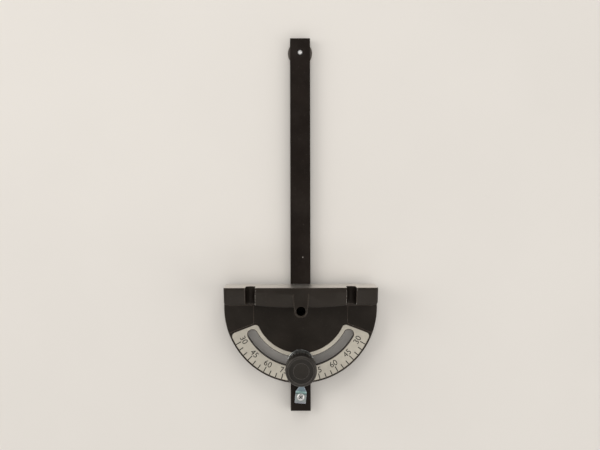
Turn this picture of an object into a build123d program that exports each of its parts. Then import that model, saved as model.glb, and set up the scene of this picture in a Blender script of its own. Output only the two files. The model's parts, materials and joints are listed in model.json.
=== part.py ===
from build123d import *
import math
import os

os.makedirs("parts", exist_ok=True)

# Miter gauge for a table saw: a die-cast head that swivels on a steel guide bar.
# Millimetres. The origin is the middle of the bar's underside, +Z is up, and +Y runs
# along the bar from the user's end to its far end. The head stands square to the bar.

# Guide bar
bar_length = 350.0
bar_width = 18.8
bar_thickness = 9.5
bar_edge_radius = 0.6
bar_behind_head = 27.4

# Retaining disc, which runs under the lips of a T-shaped table slot, and its screw
disc_diameter = 22.8
disc_thickness = 3.0
disc_from_front_end = 13.0
disc_edge_chamfer = 0.4
disc_above_underside = 0.2
disc_seat_margin = 1.0
disc_screw_diameter = 5.0
disc_screw_head_diameter = 9.6
disc_screw_length = 9.0
disc_screw_socket_across_flats = 3.0
disc_screw_socket_depth = 1.6
disc_screw_end_chamfer = 0.5

# Protractor head: flat plate, with radii and distances taken from the pivot
head_radius = 71.3
plate_thickness = 6.5
plate_rim_chamfer = 0.5
head_running_gap = 0.1
wing_to_fence_slot = 1.7
wing_drop = 0.3
wing_to_scale = 1.6

# Fence, the tall wall that the work rests against
fence_face_from_pivot = 21.1
fence_height = 38.4
fence_depth = 15.6
fence_bow = 2.8
fence_end_inside_rim = 2.1
fence_flat_width = 2.6
fence_top_drop = 4.0
fence_rear_lean = 1.4
fence_top_front_chamfer = 0.5
fence_top_rear_radius = 1.4
fence_root_radius = 2.5
fence_end_radius = 2.5
fence_wall = 3.5
fence_pocket_corner_radius = 2.0

# The two open slots that take the screws of a wooden auxiliary fence
fence_slot_from_end = 23.7
fence_slot_width = 8.8
fence_slot_depth = 17.0
fence_slot_edge_chamfer = 0.5

# Pivot boss on the back of the fence, with the well that the pivot screw stands in
boss_end_radius = 6.0
boss_root_half_width = 7.4
boss_edge_chamfer = 0.6
well_diameter = 8.5
well_chamfer = 0.4

# Pivot screw and its washer
pivot_thread_diameter = 5.0
pivot_shoulder_diameter = 6.0
pivot_screw_head_diameter = 7.8
pivot_screw_head_height = 4.5
pivot_screw_socket_across_flats = 3.0
pivot_screw_socket_depth = 2.5
pivot_screw_head_chamfer = 0.4
pivot_thread_short_of_underside = 0.8
pivot_thread_chamfer = 0.6
pivot_washer_diameter = 8.1
pivot_washer_bore = 6.4
pivot_washer_thickness = 0.6
pivot_end_play = 0.1

# Curved clamping slot in the plate
swivel_limit_degrees = 60.0
slot_centre_from_rim = 19.7
slot_width = 9.0
slot_end_allowance_degrees = 0.5

# Angle scale, a thin aluminium plate let into the top of the head
scale_to_rim = 1.7
scale_inner_border = 3.4
scale_half_angle_degrees = 68.85
scale_corner_radius = 3.5
scale_thickness = 0.5
scale_slot_width = 10.0
scale_recess_gap = 0.15

# Clamp knob, its cap, the threaded stud moulded into it, and the washer under it
knob_diameter = 28.0
knob_height = 41.4
knob_grip_height = 17.0
knob_flare_height = 8.0
knob_flare_hollow = 0.6
knob_bevel_radius = 2.4
knob_lower_edge_radius = 1.0
knob_stem_foot_diameter = 18.5
knob_stem_top_diameter = 17.0
knob_dish_radius = 11.2
knob_dish_depth = 0.8
knob_flute_count = 32
knob_flute_width = 1.7
knob_flute_depth = 0.5
knob_flute_to_bevel = 0.6
cap_radius = 6.8
cap_thickness = 1.8
cap_proud_of_dish = 0.6
cap_edge_chamfer = 0.3
stud_diameter = 8.0
stud_short_of_underside = 1.0
stud_below_cap = 1.5
stud_end_chamfer = 0.8
knob_washer_diameter = 25.0
knob_washer_thickness = 1.5
knob_washer_bore = 8.6
knob_washer_edge_chamfer = 0.3

# Pointer, cut and bent from sheet steel, and its screw
pointer_thickness = 1.0
pointer_width = 10.5
pointer_screw_from_rim = 13.8
pointer_tail_from_screw = 6.3
pointer_bend_from_screw = 4.7
pointer_rim_clearance = 0.5
pointer_overlap_of_rim = 1.0
pointer_tip_width = 0.8
pointer_turn_degrees = -5.0
pointer_hole_diameter = 4.4
pointer_corner_radius = 0.8
pointer_screw_diameter = 4.0
pointer_screw_head_diameter = 7.2
pointer_screw_head_height = 2.6
pointer_screw_head_chamfer = 1.2
pointer_screw_short_of_underside = 1.0
pointer_screw_end_chamfer = 0.5

# Clearances that the fits share
thread_clearance = 0.05
running_clearance = 0.1
seat_clearance = 0.02
cut_margin = 5.0
same_place = 0.001

# Places that follow from the sizes above
pivot_y = -bar_length / 2 + bar_behind_head + head_radius
disc_y = bar_length / 2 - disc_from_front_end
slot_centre_radius = head_radius - slot_centre_from_rim
scale_outer_radius = head_radius - scale_to_rim
scale_inner_radius = slot_centre_radius - scale_slot_width / 2 - scale_inner_border
fence_half_length = head_radius - fence_end_inside_rim
fence_slot_x = fence_half_length - fence_slot_from_end
wing_start = fence_slot_x - wing_to_fence_slot
knob_y = pivot_y - slot_centre_radius
pointer_screw_y = pivot_y - head_radius - pointer_screw_from_rim
head_bottom = bar_thickness + head_running_gap
plate_top = head_bottom + plate_thickness
fence_top = head_bottom + fence_height
fence_slot_bottom = fence_top - fence_slot_depth
knob_washer_top = plate_top + knob_washer_thickness
knob_top = knob_washer_top + knob_height
knob_dish_floor = knob_top - knob_dish_depth
cap_seat = knob_dish_floor + cap_proud_of_dish - cap_thickness
disc_top = disc_above_underside + disc_thickness


def upright_cylinder(radius, bottom, top, x=0.0, y=0.0):
    """A cylinder on a vertical axis between two heights."""
    return Pos(x, y, bottom) * extrude(Circle(radius), amount=top - bottom)


def hexagon_socket(across_flats, bottom, top):
    """The hexagonal hole for a key, on the vertical axis."""
    outline = RegularPolygon(across_flats / 2, 6, major_radius=False)
    return Pos(0, 0, bottom) * extrude(outline, amount=top - bottom)


def turned(outline):
    """A solid of revolution about the vertical axis, from lines in (radius, height)."""
    return revolve(Plane.XZ * make_face(outline), axis=Axis.Z)


def edges_at_height(solid, height):
    """The edges of a solid that lie flat at one height."""
    return solid.edges().filter_by_position(
        Axis.Z, height - same_place, height + same_place
    )


def make_guide_bar():
    """Flat steel bar with a milled seat for the disc and four tapped holes."""
    bar = Pos(0, 0, bar_thickness / 2) * Box(bar_width, bar_length, bar_thickness)
    bar = fillet(bar.edges().filter_by(Axis.Y), bar_edge_radius)
    seat_length = disc_from_front_end + disc_diameter / 2 + disc_seat_margin
    seat = Box(bar_width + cut_margin, seat_length + cut_margin, disc_top + cut_margin)
    seat_y = bar_length / 2 - seat_length + (seat_length + cut_margin) / 2
    bar -= Pos(0, seat_y, disc_top - (disc_top + cut_margin) / 2) * seat
    holes = [
        (pivot_thread_diameter, pivot_y),
        (stud_diameter, knob_y),
        (pointer_screw_diameter, pointer_screw_y),
        (disc_screw_diameter, disc_y),
    ]
    for diameter, y in holes:
        radius = diameter / 2 + thread_clearance
        bar -= upright_cylinder(radius, -cut_margin, bar_thickness + cut_margin, 0, y)
    return bar


def countersink(head_radius, shank_radius, bottom, growth):
    """The cone of a countersunk head, grown by a clearance, on the vertical axis."""
    depth = head_radius - shank_radius
    return turned(
        Polyline(
            (0, bottom),
            (head_radius + growth, bottom),
            (shank_radius + growth, bottom + depth),
            (0, bottom + depth),
            close=True,
        )
    )


def make_retaining_disc():
    """Disc held flat against the bar's milled seat, countersunk from below."""
    disc = upright_cylinder(disc_diameter / 2, disc_above_underside, disc_top)
    disc = chamfer(edges_at_height(disc, disc_above_underside), disc_edge_chamfer)
    shank_radius = disc_screw_diameter / 2
    disc -= countersink(
        disc_screw_head_diameter / 2, shank_radius, disc_above_underside, thread_clearance
    )
    disc -= upright_cylinder(shank_radius + thread_clearance, 0, disc_top + cut_margin)
    return Pos(0, disc_y, 0) * disc


def make_disc_screw():
    """Countersunk screw that holds the disc and shows its end in the bar's top."""
    shank_radius = disc_screw_diameter / 2
    top = disc_above_underside + disc_screw_length
    screw = countersink(
        disc_screw_head_diameter / 2, shank_radius, disc_above_underside, 0
    )
    screw += upright_cylinder(shank_radius, disc_above_underside, top)
    screw = chamfer(edges_at_height(screw, top), disc_screw_end_chamfer)
    socket_top = disc_above_underside + disc_screw_socket_depth
    screw -= hexagon_socket(disc_screw_socket_across_flats, 0, socket_top)
    return Pos(0, disc_y, 0) * screw


def arc_slot(width):
    """Outline of the curved slot about the pivot, long enough for the whole swivel."""
    reach = swivel_limit_degrees + slot_end_allowance_degrees
    middle = CenterArc((0, 0), slot_centre_radius, 270 - reach, 2 * reach)
    return SlotArc(middle, width)


def scale_outline(growth):
    """Ring sector that the angle scale fills, grown by a gap all round."""
    ring = Circle(scale_outer_radius + growth) - Circle(scale_inner_radius - growth)
    spread = growth / scale_outer_radius
    half_angle = math.radians(scale_half_angle_degrees) + spread
    reach = 2 * head_radius
    side = (reach * math.sin(half_angle), -reach * math.cos(half_angle))
    wedge = make_face(
        Polyline((0, 0), side, (side[0], -reach), (-side[0], -reach), (-side[0], side[1]),
                 close=True)
    )
    sector = ring & wedge
    return fillet(sector.vertices(), scale_corner_radius + growth)


def plate_outline():
    """Plan of the plate: a circle cut off in line with the face of the fence."""
    return Circle(head_radius) & Pos(0, fence_face_from_pivot - head_radius) * Rectangle(
        2 * head_radius, 2 * head_radius
    )


def make_wing(side):
    """Field beside the middle of the plate that is a little lower than the rest."""
    angle = math.radians(scale_half_angle_degrees)
    outer = head_radius + cut_margin

    def scale_end(x):
        return (wing_to_scale - x * math.cos(angle)) / math.sin(angle)

    outline = make_face(
        Polyline(
            (side * wing_start, scale_end(wing_start)),
            (side * outer, scale_end(outer)),
            (side * outer, fence_face_from_pivot - fence_wall),
            (side * wing_start, fence_face_from_pivot - fence_wall),
            close=True,
        )
    )
    return Pos(0, 0, plate_top - wing_drop) * extrude(outline, amount=cut_margin, dir=(0, 0, 1))


def make_plate():
    """Half-round plate of the head, with its two lower wings."""
    plate = Pos(0, 0, head_bottom) * extrude(plate_outline(), amount=plate_thickness)
    rim = edges_at_height(plate, plate_top).filter_by(GeomType.CIRCLE)
    plate = chamfer(rim, plate_rim_chamfer)
    return plate - make_wing(-1) - make_wing(1)


def fence_section(reach):
    """Section of the fence, in (distance behind its face, height), made deeper by a reach."""
    rear = fence_depth + reach
    rear_top = fence_top - fence_top_drop
    foot = rear + fence_rear_lean
    outline = make_face(
        Polyline(
            (0, head_bottom),
            (0, fence_top),
            (fence_flat_width + reach, fence_top),
            (rear, rear_top),
            (foot, plate_top),
            (foot + fence_root_radius, plate_top),
            (foot + fence_root_radius, head_bottom),
            close=True,
        )
    )
    rear_edge = outline.vertices().sort_by_distance((rear, rear_top))[0]
    outline = fillet(rear_edge, fence_top_rear_radius)
    root = outline.vertices().sort_by_distance((foot, plate_top))[0]
    return fillet(root, fence_root_radius)


def make_fence_wall():
    """Fence along X: level at the front of its top, falling to the rear, with round ends."""
    outline = fence_section(0)
    front_top = outline.vertices().sort_by_distance((0, fence_top))[0]
    outline = chamfer(front_top, fence_top_front_chamfer)
    place = Plane(
        origin=(0, fence_face_from_pivot, 0), x_dir=(0, -1, 0), z_dir=(-1, 0, 0)
    )
    wall = extrude(place * outline, amount=fence_half_length, both=True)
    ends = wall.edges().filter_by_position(Axis.X, -fence_half_length, -fence_half_length)
    ends += wall.edges().filter_by_position(Axis.X, fence_half_length, fence_half_length)
    rounded_above = fence_top - fence_top_drop - fence_top_rear_radius
    return fillet([edge for edge in ends if edge.center().Z > rounded_above], fence_end_radius)


def make_fence_bow():
    """The back of the fence between its slots, where it bows out as part of a ring."""
    ring_radius = (fence_slot_x**2 + fence_bow**2) / (2 * fence_bow)
    axis_to_face = ring_radius - fence_depth - fence_bow
    section = Pos(axis_to_face, 0) * fence_section(fence_bow)
    ring = revolve(Plane.XZ * section, axis=Axis.Z)
    depth = fence_depth + fence_bow + fence_rear_lean + fence_root_radius
    front = -axis_to_face - fence_top_front_chamfer
    width = 2 * fence_slot_x + fence_slot_width
    bow = ring & Pos(0, front - depth / 2, head_bottom + fence_height / 2) * Box(
        width, depth, fence_height
    )
    return Pos(0, axis_to_face + fence_face_from_pivot, 0) * bow


def make_fence_pockets():
    """Hollows cast into the fence from below."""
    slot_side = fence_slot_width / 2 + fence_wall
    near = (boss_root_half_width + fence_wall, fence_slot_x - slot_side)
    far = (fence_slot_x + slot_side, fence_half_length - fence_wall)
    front = fence_face_from_pivot - fence_wall
    rear = fence_face_from_pivot - fence_depth + fence_wall
    top = fence_top - fence_top_drop - fence_wall
    pockets = []
    for low, high in (near, far):
        outline = RectangleRounded(high - low, front - rear, fence_pocket_corner_radius)
        pocket = extrude(outline, amount=top - head_bottom + cut_margin)
        for side in (-1, 1):
            x = side * (low + high) / 2
            pockets.append(Pos(x, (front + rear) / 2, head_bottom - cut_margin) * pocket)
    return pockets


def make_fence_slots():
    """Open U slots through the fence, their round bottoms at screw height."""
    radius = fence_slot_width / 2
    length = fence_depth + 2 * cut_margin
    centre_z = fence_slot_bottom + radius
    upright = fence_top + cut_margin - centre_z
    slot = Pos(0, 0, upright / 2) * Box(fence_slot_width, length, upright)
    slot += Rot(90, 0, 0) * Cylinder(radius, length)
    y = fence_face_from_pivot - fence_depth / 2
    return [Pos(side * fence_slot_x, y, centre_z) * slot for side in (-1, 1)]


def slot_lips(head):
    """The level edges along the tops of the two fence slots, front and sides."""
    half_width = fence_slot_width / 2
    return [
        edge
        for edge in edges_at_height(head, fence_top)
        if abs(abs(abs(edge.center().X) - fence_slot_x) - half_width) < same_place
    ]


def make_boss():
    """Round-ended boss for the pivot, level with the top of the fence."""
    root_y = fence_face_from_pivot - fence_wall
    root = Line((-boss_root_half_width, root_y), (boss_root_half_width, root_y))
    outline = make_hull(Circle(boss_end_radius).edges() + root.edges())
    boss = Pos(0, 0, head_bottom) * extrude(outline, amount=fence_height)
    rim = edges_at_height(boss, fence_top).sort_by(Axis.Y)[:-1]
    return chamfer(rim, boss_edge_chamfer)


def make_well():
    """The round well down through the boss, with its chamfered mouth."""
    radius = well_diameter / 2
    mouth = well_chamfer + cut_margin
    return turned(
        Polyline(
            (0, plate_top),
            (radius, plate_top),
            (radius, fence_top - well_chamfer),
            (radius + mouth, fence_top + cut_margin),
            (0, fence_top + cut_margin),
            close=True,
        )
    )


def make_protractor_head():
    """The head casting: plate, fence and boss in one piece."""
    head = make_plate() + make_fence_wall() + make_fence_bow() + make_boss()
    for cut in make_fence_pockets() + make_fence_slots():
        head -= cut
    head = chamfer(slot_lips(head), fence_slot_edge_chamfer)
    above = fence_top + cut_margin
    below = head_bottom - cut_margin
    recess = Pos(0, 0, plate_top - scale_thickness) * extrude(
        scale_outline(scale_recess_gap), amount=cut_margin
    )
    head -= recess
    head -= Pos(0, 0, below) * extrude(arc_slot(slot_width), amount=above - below)
    head -= make_well()
    hole_radius = pivot_shoulder_diameter / 2 + running_clearance
    head -= upright_cylinder(hole_radius, below, above)
    return Pos(0, pivot_y, 0) * head


def make_angle_scale():
    """Thin plate in the head's recess, cut out round the clamping slot."""
    outline = scale_outline(0) - arc_slot(scale_slot_width)
    plate = extrude(outline, amount=scale_thickness)
    return Pos(0, pivot_y, plate_top - scale_thickness) * plate


def make_pivot_washer():
    """Washer between the head's web and the head of the pivot screw."""
    top = plate_top + pivot_washer_thickness
    washer = upright_cylinder(pivot_washer_diameter / 2, plate_top, top)
    washer -= upright_cylinder(pivot_washer_bore / 2, head_bottom, top + cut_margin)
    return Pos(0, pivot_y, 0) * washer


def make_pivot_screw():
    """Shoulder screw in the bar: the head of the gauge turns on its shoulder."""
    shoulder_top = plate_top + pivot_washer_thickness + pivot_end_play
    top = shoulder_top + pivot_screw_head_height
    screw = upright_cylinder(pivot_screw_head_diameter / 2, shoulder_top, top)
    screw = chamfer(edges_at_height(screw, top), pivot_screw_head_chamfer)
    screw += upright_cylinder(pivot_shoulder_diameter / 2, bar_thickness, shoulder_top)
    thread_radius = pivot_thread_diameter / 2
    thread = upright_cylinder(
        thread_radius, pivot_thread_short_of_underside, bar_thickness
    )
    thread_end = edges_at_height(thread, pivot_thread_short_of_underside)
    thread = chamfer(thread_end, pivot_thread_chamfer)
    screw += thread
    screw -= hexagon_socket(
        pivot_screw_socket_across_flats, top - pivot_screw_socket_depth, top + cut_margin
    )
    return Pos(0, pivot_y, 0) * screw


def make_clamp_knob():
    """Round knob on a tall stem: fluted grip, bevelled rim and dished top."""
    grip_radius = knob_diameter / 2
    grip_bottom = knob_top - knob_grip_height
    flare_bottom = grip_bottom - knob_flare_height
    foot_radius = knob_stem_foot_diameter / 2
    stem_radius = knob_stem_top_diameter / 2
    bevel_start = knob_top - knob_bevel_radius
    neck = (stem_radius, flare_bottom)
    lip = (grip_radius - knob_lower_edge_radius, grip_bottom)
    waist = (neck[0] + lip[0]) / 2 - knob_flare_hollow
    flare = (waist, (neck[1] + lip[1]) / 2 + knob_flare_hollow)
    side = (grip_radius, grip_bottom + knob_lower_edge_radius)
    shoulder = (grip_radius, bevel_start)
    crown = (grip_radius - knob_bevel_radius, knob_top)
    profile = [
        Line((0, knob_washer_top), (foot_radius, knob_washer_top)),
        Line((foot_radius, knob_washer_top), neck),
        ThreePointArc(neck, flare, lip),
        Line(lip, side),
        Line(side, shoulder),
        RadiusArc(shoulder, crown, -knob_bevel_radius),
        Line(crown, (0, knob_top)),
        Line((0, knob_top), (0, knob_washer_top)),
    ]
    knob = turned(profile)
    dish = upright_cylinder(knob_dish_radius, knob_dish_floor, knob_top + cut_margin)
    knob -= dish
    knob -= upright_cylinder(cap_radius + seat_clearance, cap_seat, knob_top)
    knob -= upright_cylinder(stud_diameter / 2 + seat_clearance, 0, knob_top)
    flute_outline = make_face(
        Polyline(
            (-knob_flute_depth, 0),
            (knob_flute_depth, knob_flute_width),
            (knob_flute_depth, -knob_flute_width),
            close=True,
        )
    )
    flute_length = bevel_start - knob_flute_to_bevel - side[1]
    flute = Pos(0, 0, side[1]) * extrude(flute_outline, amount=flute_length, dir=(0, 0, 1))
    knob -= [place * flute for place in PolarLocations(grip_radius, knob_flute_count)]
    return Pos(0, knob_y, 0) * knob


def make_knob_cap():
    """Round cap pressed into the knob's top over the end of the stud."""
    top = cap_seat + cap_thickness
    cap = upright_cylinder(cap_radius, cap_seat, top)
    return Pos(0, knob_y, 0) * chamfer(edges_at_height(cap, top), cap_edge_chamfer)


def make_knob_stud():
    """Threaded stud, fixed in the knob, that screws into the bar."""
    top = cap_seat - stud_below_cap
    stud = upright_cylinder(stud_diameter / 2, stud_short_of_underside, top)
    ends = edges_at_height(stud, stud_short_of_underside) + edges_at_height(stud, top)
    return Pos(0, knob_y, 0) * chamfer(ends, stud_end_chamfer)


def make_knob_washer():
    """Plated washer that spreads the knob's clamping force over the scale."""
    washer = upright_cylinder(knob_washer_diameter / 2, plate_top, knob_washer_top)
    washer = chamfer(edges_at_height(washer, knob_washer_top), knob_washer_edge_chamfer)
    washer -= upright_cylinder(knob_washer_bore / 2, head_bottom, knob_top)
    return Pos(0, knob_y, 0) * washer


def make_pointer():
    """Sheet-steel pointer: flat foot under the screw, and a blade bent up to the rim."""
    half_width = pointer_width / 2
    run = pointer_screw_from_rim - pointer_bend_from_screw
    rise = plate_top + pointer_rim_clearance - bar_thickness
    slope = math.atan2(rise, run)
    blade_length = (run + pointer_overlap_of_rim) / math.cos(slope)
    foot_length = pointer_tail_from_screw + pointer_bend_from_screw
    foot = Pos(0, (pointer_bend_from_screw - pointer_tail_from_screw) / 2) * Rectangle(
        pointer_width, foot_length
    )
    foot = extrude(foot, amount=pointer_thickness)
    foot = fillet(foot.edges().filter_by(Axis.Z).sort_by(Axis.Y)[:2], pointer_corner_radius)
    outline = make_face(
        Polyline(
            (-half_width, 0),
            (half_width, 0),
            (pointer_tip_width / 2, blade_length),
            (-pointer_tip_width / 2, blade_length),
            close=True,
        )
    )
    blade = extrude(outline, amount=pointer_thickness)
    blade = Pos(0, pointer_bend_from_screw, 0) * Rot(math.degrees(slope), 0, 0) * blade
    bend_side = Circle(pointer_thickness) & Rectangle(
        2 * pointer_thickness, 2 * pointer_thickness, align=(Align.MAX, Align.MIN)
    )
    turn = Plane(origin=(0, 0, 0), x_dir=(0, 1, 0), z_dir=(1, 0, 0)) * bend_side
    turn = extrude(turn, amount=half_width, both=True)
    turn &= Rot(math.degrees(slope), 0, 0) * Pos(0, 0, pointer_thickness / 2) * Box(
        pointer_width, 4 * pointer_thickness, pointer_thickness
    )
    pointer = foot + blade + Pos(0, pointer_bend_from_screw, 0) * turn
    pointer -= upright_cylinder(
        pointer_hole_diameter / 2, -cut_margin, pointer_thickness + cut_margin
    )
    place = Pos(0, pointer_screw_y, bar_thickness) * Rot(0, 0, pointer_turn_degrees)
    return place * pointer


def make_pointer_screw():
    """Pan-head screw that clamps the pointer's foot to the bar."""
    seat = bar_thickness + pointer_thickness
    top = seat + pointer_screw_head_height
    head = upright_cylinder(pointer_screw_head_diameter / 2, seat, top)
    head = chamfer(edges_at_height(head, top), pointer_screw_head_chamfer)
    shank_radius = pointer_screw_diameter / 2
    shank = upright_cylinder(shank_radius, pointer_screw_short_of_underside, seat)
    shank_end = edges_at_height(shank, pointer_screw_short_of_underside)
    shank = chamfer(shank_end, pointer_screw_end_chamfer)
    return Pos(0, pointer_screw_y, 0) * (head + shank)


pieces = {
    "guide_bar": make_guide_bar,
    "retaining_disc": make_retaining_disc,
    "disc_screw": make_disc_screw,
    "protractor_head": make_protractor_head,
    "angle_scale": make_angle_scale,
    "pivot_washer": make_pivot_washer,
    "pivot_screw": make_pivot_screw,
    "clamp_knob": make_clamp_knob,
    "knob_cap": make_knob_cap,
    "knob_stud": make_knob_stud,
    "knob_washer": make_knob_washer,
    "pointer": make_pointer,
    "pointer_screw": make_pointer_screw,
}
for name, make in pieces.items():
    export_step(make(), f"parts/{name}.step")
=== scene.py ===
"""Miter gauge: finishes, print and small screws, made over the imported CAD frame."""
import json
import math

import bmesh
import bpy
from mathutils import Matrix, Vector


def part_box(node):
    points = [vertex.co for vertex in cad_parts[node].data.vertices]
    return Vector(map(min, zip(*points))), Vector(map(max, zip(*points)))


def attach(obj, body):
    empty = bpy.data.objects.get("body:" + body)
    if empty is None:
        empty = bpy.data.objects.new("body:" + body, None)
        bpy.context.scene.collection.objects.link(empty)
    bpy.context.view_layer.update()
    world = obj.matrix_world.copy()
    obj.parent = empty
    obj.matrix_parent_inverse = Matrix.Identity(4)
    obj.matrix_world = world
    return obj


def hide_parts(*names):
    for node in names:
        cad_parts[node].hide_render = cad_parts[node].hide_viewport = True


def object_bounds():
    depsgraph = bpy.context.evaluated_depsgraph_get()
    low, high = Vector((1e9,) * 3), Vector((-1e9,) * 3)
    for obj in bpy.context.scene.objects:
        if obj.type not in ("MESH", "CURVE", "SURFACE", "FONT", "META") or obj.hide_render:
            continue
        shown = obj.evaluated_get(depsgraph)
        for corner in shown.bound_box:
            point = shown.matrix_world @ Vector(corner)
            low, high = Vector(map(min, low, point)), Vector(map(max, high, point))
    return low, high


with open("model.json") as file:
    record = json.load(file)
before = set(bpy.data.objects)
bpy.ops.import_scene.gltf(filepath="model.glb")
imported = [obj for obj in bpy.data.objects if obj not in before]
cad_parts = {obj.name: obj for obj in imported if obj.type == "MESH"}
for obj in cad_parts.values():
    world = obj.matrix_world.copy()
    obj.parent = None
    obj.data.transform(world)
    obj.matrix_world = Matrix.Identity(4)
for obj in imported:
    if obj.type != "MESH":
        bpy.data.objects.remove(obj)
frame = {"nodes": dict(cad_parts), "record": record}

bl_info = {
    "name": "Miter Gauge",
    "version": (1, 0, 0),
    "blender": (4, 5, 0),
    "location": "View3D > Sidebar > Miter Gauge",
    "description": "Finishes, graduations and screws of a table saw's miter gauge",
    "category": "Object",
}

MM = 0.001
CUT_MARGIN = 0.01 * MM
WELD_DISTANCE = 0.001 * MM
FLAT_ANGLE = math.radians(0.5)
BEVEL_ANGLE = math.radians(32)
SHARP_ANGLE = math.radians(30)
CAD_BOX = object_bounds()
BODY_OF = {
    node: body
    for body, nodes in frame["record"]["behaviour"]["bodies"].items()
    for node in nodes
}
JOINT = {joint["name"]: joint for joint in frame["record"]["behaviour"]["joints"]}
PIVOT = Vector(JOINT["head_swivel"]["pos_m"])
FENCE_SLOTS = next(
    mount["dims"] for mount in frame["record"]["mounts"] if mount["name"] == "fence_screw_slots"
)


def srgb(red, green, blue):
    """A colour as a screen shows it, 0 to 255, in the linear values that shaders use."""
    def linear(value):
        value /= 255
        return value / 12.92 if value <= 0.04045 else ((value + 0.055) / 1.055) ** 2.4
    return linear(red), linear(green), linear(blue)


def colour_property(name, default, description):
    return bpy.props.FloatVectorProperty(
        name=name, description=description, subtype="COLOR", size=3, min=0.0, max=1.0,
        default=default,
    )


def length_property(name, millimetres, description):
    return bpy.props.FloatProperty(
        name=name, description=description, subtype="DISTANCE", unit="LENGTH", min=0.0,
        precision=5, default=millimetres * MM,
    )


def angle_property(name, degrees, description):
    return bpy.props.FloatProperty(
        name=name, description=description, subtype="ANGLE", unit="ROTATION",
        default=math.radians(degrees),
    )


class GaugeColours(bpy.types.PropertyGroup):
    """Colours of the gauge's finishes."""
    bar: colour_property("Bar", srgb(25, 19, 16), "Black oxide of the guide bar")
    casting: colour_property("Casting", srgb(29, 24, 20), "Enamel of the cast head")
    knob: colour_property("Knob", srgb(29, 27, 25), "Moulded plastic of the clamp knob")
    cap: colour_property("Cap", srgb(31, 28, 25), "Moulded plastic of the knob's cap")
    disc: colour_property("Disc", srgb(108, 100, 92), "Phosphated steel of the disc")
    plate: colour_property("Scale plate", srgb(196, 188, 172), "Aluminium of the scale")
    ink: colour_property("Ink", srgb(22, 19, 17), "Printed graduations and numerals")
    zinc: colour_property("Zinc", srgb(196, 198, 195), "Plating of the washers and the stud")
    pointer_tail: colour_property(
        "Pointer tail", srgb(158, 158, 166), "Plating at the tail of the pointer"
    )
    pointer_foot: colour_property(
        "Pointer foot", srgb(176, 183, 178), "Plating on the flat foot of the pointer"
    )
    # Painted shade: a dark band in the hollow before the bend.
    pointer_hollow: colour_property(
        "Pointer hollow", srgb(84, 112, 112), "Plating in the hollow before the bend"
    )
    # Painted highlight: a light band over the bend.
    pointer_bend: colour_property(
        "Pointer bend", srgb(176, 208, 202), "Plating stretched over the pointer's bend"
    )
    pointer_blade: colour_property(
        "Pointer blade", srgb(136, 154, 162), "Plating on the pointer's sloping blade"
    )
    # Painted highlight: a light colour along the pointer's edges.
    pointer_edge: colour_property(
        "Pointer edge", srgb(206, 206, 216), "Plating rubbed bright at the pointer's edges"
    )
    steel: colour_property("Steel", srgb(236, 233, 229), "Bright steel of the screws")
    machined: colour_property(
        "Machined face", srgb(226, 221, 214), "Bare metal of the fence's milled face"
    )
    bare_metal: colour_property(
        "Bare metal", srgb(178, 172, 164), "Metal that shows where a finish is worn"
    )
    sheen: colour_property("Sheen", (1.0, 0.9, 0.78), "Warm gloss of the black finishes")
    # Painted shade: darkens the edges of the zinc parts and the inside of the screw's recess.
    grime: colour_property("Grime", srgb(126, 122, 117), "Dirt on cut edges and in recesses")
    dust: colour_property("Dust", srgb(150, 143, 134), "Fine dust on the black parts")
    floor: colour_property("Floor", srgb(222, 216, 208), "Pale table top")


class GaugePrint(bpy.types.PropertyGroup):
    """Graduations and numerals of the angle scale."""
    step: angle_property("Step", 5, "Angle between graduations")
    reach: angle_property("Reach", 60, "Angle of the last graduation from the middle")
    long_every: bpy.props.IntProperty(
        name="Long every", description="Graduations from one long line to the next",
        default=3, min=1,
    )
    short_length: length_property("Short line", 4.1, "Length of a short graduation")
    long_length: length_property("Long line", 5.3, "Length of a long graduation")
    line_width: length_property("Line width", 0.85, "Width of every graduation")
    ink_thickness: length_property("Ink thickness", 0.02, "Height of the print")
    rim_gap: length_property("Rim gap", 0.1, "From the lines' outer ends to the edge")
    numeral_height: length_property("Numeral height", 5.4, "Height of the numerals")
    numeral_from_rim: length_property(
        "Numeral distance", 8.6, "From the scale's outer edge to the numerals' middle"
    )


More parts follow.
